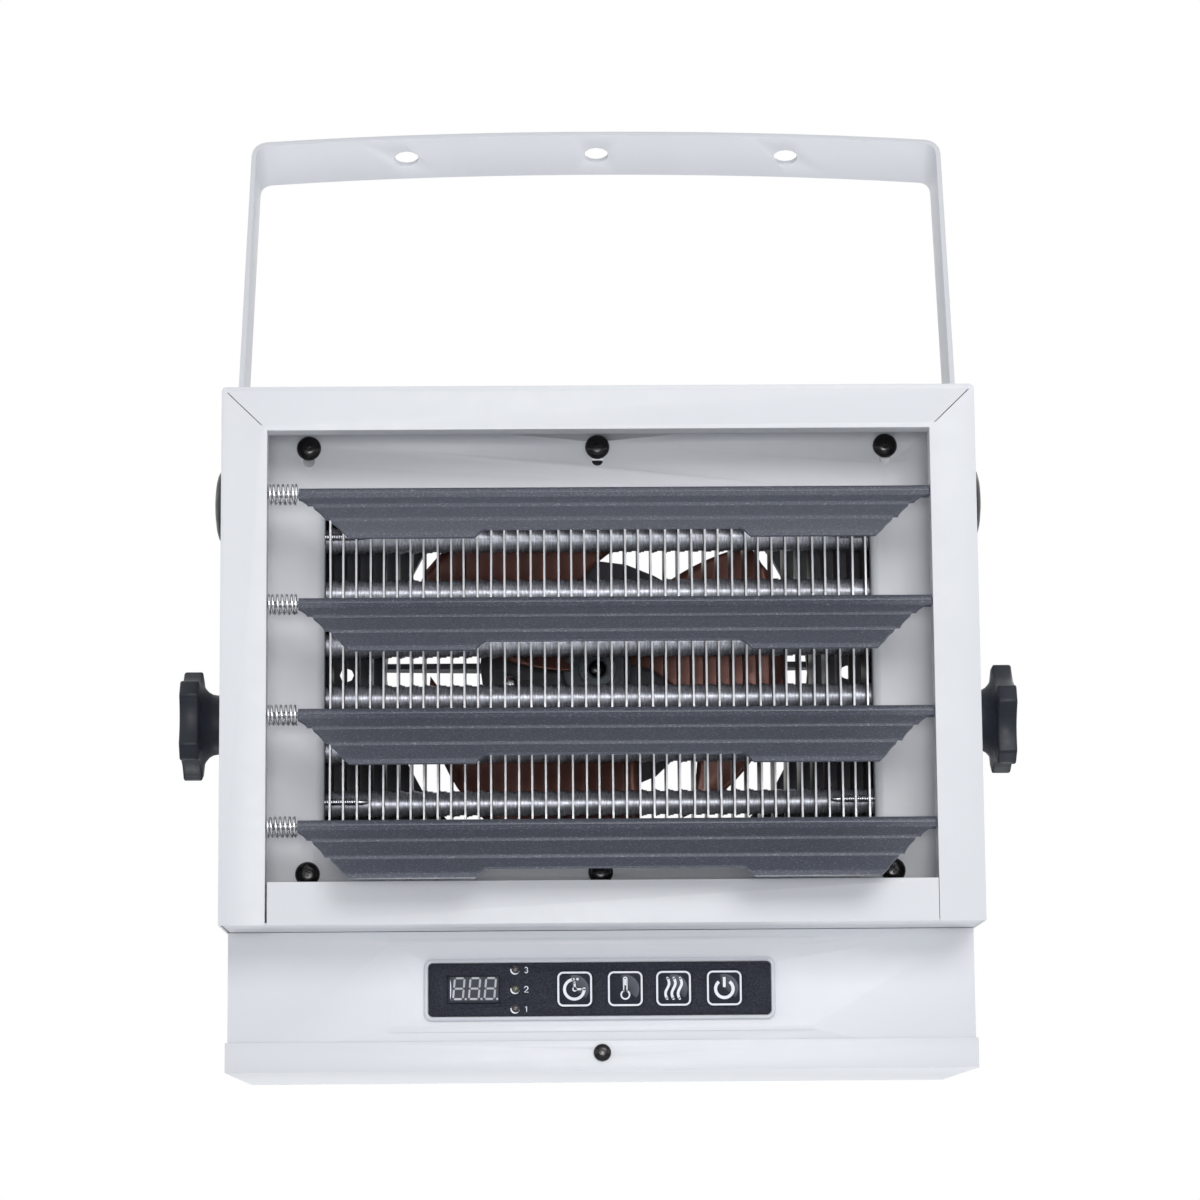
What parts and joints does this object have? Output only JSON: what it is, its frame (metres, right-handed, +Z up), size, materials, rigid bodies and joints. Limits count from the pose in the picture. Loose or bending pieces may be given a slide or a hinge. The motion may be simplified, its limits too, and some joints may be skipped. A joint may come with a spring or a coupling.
{
  "type": "ceiling mounted fan heater",
  "caption": "Boxy hanging air heater with tilting outlet slats, a finned electric element, a rear fan, a touch panel below and a tilting yoke strap clamped by side knobs.",
  "frame": {"origin": "on the underside of the base cover, mid width of the cabinet, straight below the tilt axis of the strap", "axes": "+X to the viewer's right, +Y from the outlet to the back, +Z up"},
  "size_m": [0.4108, 0.2623, 0.507],
  "materials": {
    "white_powder_coat": "cool white satin powder coat",
    "galvanised_sheet": "dull galvanised sheet",
    "black_screw": "black oxide",
    "bright_zinc": "bright zinc plating",
    "element_steel": "bright plain steel with a heat-dulled face",
    "copper_blade": "copper-brown lacquered blades",
    "motor_housing": "dark satin motor paint",
    "charcoal_powder_coat": "fine textured charcoal powder coat",
    "spring_steel": "bright drawn wire",
    "bezel_plastic": "light grey satin moulding",
    "panel_film": "near-black glossy film",
    "display_face": "smoked display face",
    "lamp_lens": "milky unlit lens",
    "circuit_board": "green solder mask",
    "terminal_plastic": "cream moulding",
    "black_plastic": "fine matt moulding",
    "rubber_washer": "matt rubber"
  },
  "bodies": {
    "cabinet": {"casing_shell": "white_powder_coat", "bottom_panel": "white_powder_coat", "rear_panel": "white_powder_coat", "baffle_plate": "white_powder_coat", "air_duct": "white_powder_coat", "fan_shroud": "galvanised_sheet", "baffle_screw_1": "black_screw", "baffle_screw_2": "black_screw", "baffle_screw_3": "black_screw", "baffle_screw_4": "black_screw", "baffle_screw_5": "black_screw", "baffle_screw_6": "black_screw", "element_screw_1": "bright_zinc", "element_screw_2": "bright_zinc", "element_screw_3": "bright_zinc", "element_screw_4": "bright_zinc", "heating_element": "element_steel", "fan_motor": "motor_housing", "motor_yoke": "galvanised_sheet", "motor_bolt_left": "bright_zinc", "motor_bolt_right": "bright_zinc", "louver_spring_1": "spring_steel", "louver_spring_2": "spring_steel", "louver_spring_3": "spring_steel", "louver_spring_4": "spring_steel", "control_box": "white_powder_coat", "base_cover": "white_powder_coat", "cover_screw": "black_screw", "panel_bezel": "bezel_plastic", "panel_overlay": "panel_film", "display_module": "display_face", "indicator_lamp_1": "lamp_lens", "indicator_lamp_2": "lamp_lens", "indicator_lamp_3": "lamp_lens", "control_board": "circuit_board", "terminal_block": "terminal_plastic", "cable_bushing": "black_plastic", "thermal_cutout": "black_plastic", "friction_washer_left": "rubber_washer", "friction_washer_right": "rubber_washer", "clamp_nut_left": "bright_zinc", "clamp_nut_right": "bright_zinc", "side_plug_left": "black_plastic", "side_plug_right": "black_plastic"},
    "bracket": {"mounting_bracket": "white_powder_coat"},
    "knob_left": {"knob_left": "black_plastic"},
    "knob_right": {"knob_right": "black_plastic"},
    "fan": {"fan_impeller": "copper_blade", "motor_shaft": "bright_zinc"},
    "louver_1": {"louver_1": "charcoal_powder_coat"},
    "louver_2": {"louver_2": "charcoal_powder_coat"},
    "louver_3": {"louver_3": "charcoal_powder_coat"},
    "louver_4": {"louver_4": "charcoal_powder_coat"},
    "key_timer": {"key_timer": "panel_film"},
    "key_temperature": {"key_temperature": "panel_film"},
    "key_mode": {"key_mode": "panel_film"},
    "key_power": {"key_power": "panel_film"}
  },
  "joints": [
    {"name": "bracket_tilt", "type": "hinge", "parent": "cabinet", "child": "bracket", "pos_m": [0, 0, 0.173], "axis": [1, 0, 0], "range_deg": [-69.7, 28]},
    {"name": "knob_left_turn", "type": "hinge", "parent": "cabinet", "child": "knob_left", "pos_m": [-0.186, 0, 0.173], "axis": [-1, 0, 0], "range_deg": [0, 360]},
    {"name": "knob_right_turn", "type": "hinge", "parent": "cabinet", "child": "knob_right", "pos_m": [0.186, 0, 0.173], "axis": [1, 0, 0], "range_deg": [0, 360]},
    {"name": "fan_spin", "type": "hinge", "parent": "cabinet", "child": "fan", "pos_m": [0, 0.005, 0.201], "axis": [0, 1, 0], "continuous": true},
    {"name": "louver_1_tilt", "type": "hinge", "parent": "cabinet", "child": "louver_1", "pos_m": [0.0056, -0.086, 0.2726], "axis": [1, 0, 0], "range_deg": [-45, 33]},
    {"name": "louver_2_tilt", "type": "hinge", "parent": "cabinet", "child": "louver_2", "pos_m": [0.0056, -0.086, 0.2196], "axis": [1, 0, 0], "range_deg": [-45, 33]},
    {"name": "louver_3_tilt", "type": "hinge", "parent": "cabinet", "child": "louver_3", "pos_m": [0.0056, -0.086, 0.1666], "axis": [1, 0, 0], "range_deg": [-45, 33]},
    {"name": "louver_4_tilt", "type": "hinge", "parent": "cabinet", "child": "louver_4", "pos_m": [0.0056, -0.086, 0.1136], "axis": [1, 0, 0], "range_deg": [-45, 33]},
    {"name": "key_timer_press", "type": "slide", "parent": "cabinet", "child": "key_timer", "axis": [0, 1, 0], "range_m": [0, 0.0005], "stiffness_N_per_m": 500},
    {"name": "key_temperature_press", "type": "slide", "parent": "cabinet", "child": "key_temperature", "axis": [0, 1, 0], "range_m": [0, 0.0005], "stiffness_N_per_m": 500},
    {"name": "key_mode_press", "type": "slide", "parent": "cabinet", "child": "key_mode", "axis": [0, 1, 0], "range_m": [0, 0.0005], "stiffness_N_per_m": 500},
    {"name": "key_power_press", "type": "slide", "parent": "cabinet", "child": "key_power", "axis": [0, 1, 0], "range_m": [0, 0.0005], "stiffness_N_per_m": 500}
  ]
}
